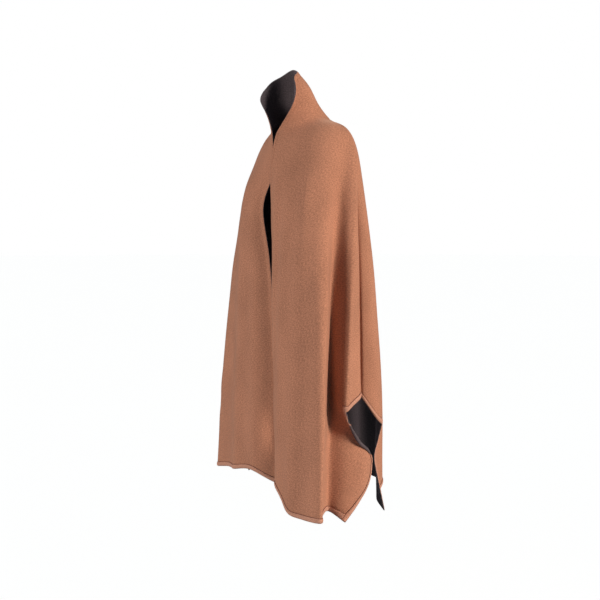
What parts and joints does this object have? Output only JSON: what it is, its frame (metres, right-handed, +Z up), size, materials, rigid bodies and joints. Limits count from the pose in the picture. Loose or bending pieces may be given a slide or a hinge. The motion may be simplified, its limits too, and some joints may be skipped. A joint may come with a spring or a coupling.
{
  "type": "wool cape",
  "caption": "Long open-fronted wool cape with a tall grown-on collar, softly draped sides with hand openings and turned, top-stitched edges.",
  "frame": {"origin": "the point between the wearer's shoulders where the cape is held", "axes": "+Z up, -Y the cape's front, +X the wearer's left"},
  "size_m": [0.549, 0.2865, 1.0229],
  "materials": {
    "wool": "soft heathered wool, camel outside and dark inside",
    "wool_edge": "turned wool edge, top-stitched"
  },
  "bodies": {
    "root": {"left_front": "wool", "right_front": "wool", "back": "wool", "front_band_left": "wool_edge", "front_band_right": "wool_edge", "hem_band_left": "wool_edge", "hem_band_right": "wool_edge", "hem_band_back": "wool_edge", "side_band_left": "wool_edge", "side_band_right": "wool_edge"}
  },
  "joints": []
}
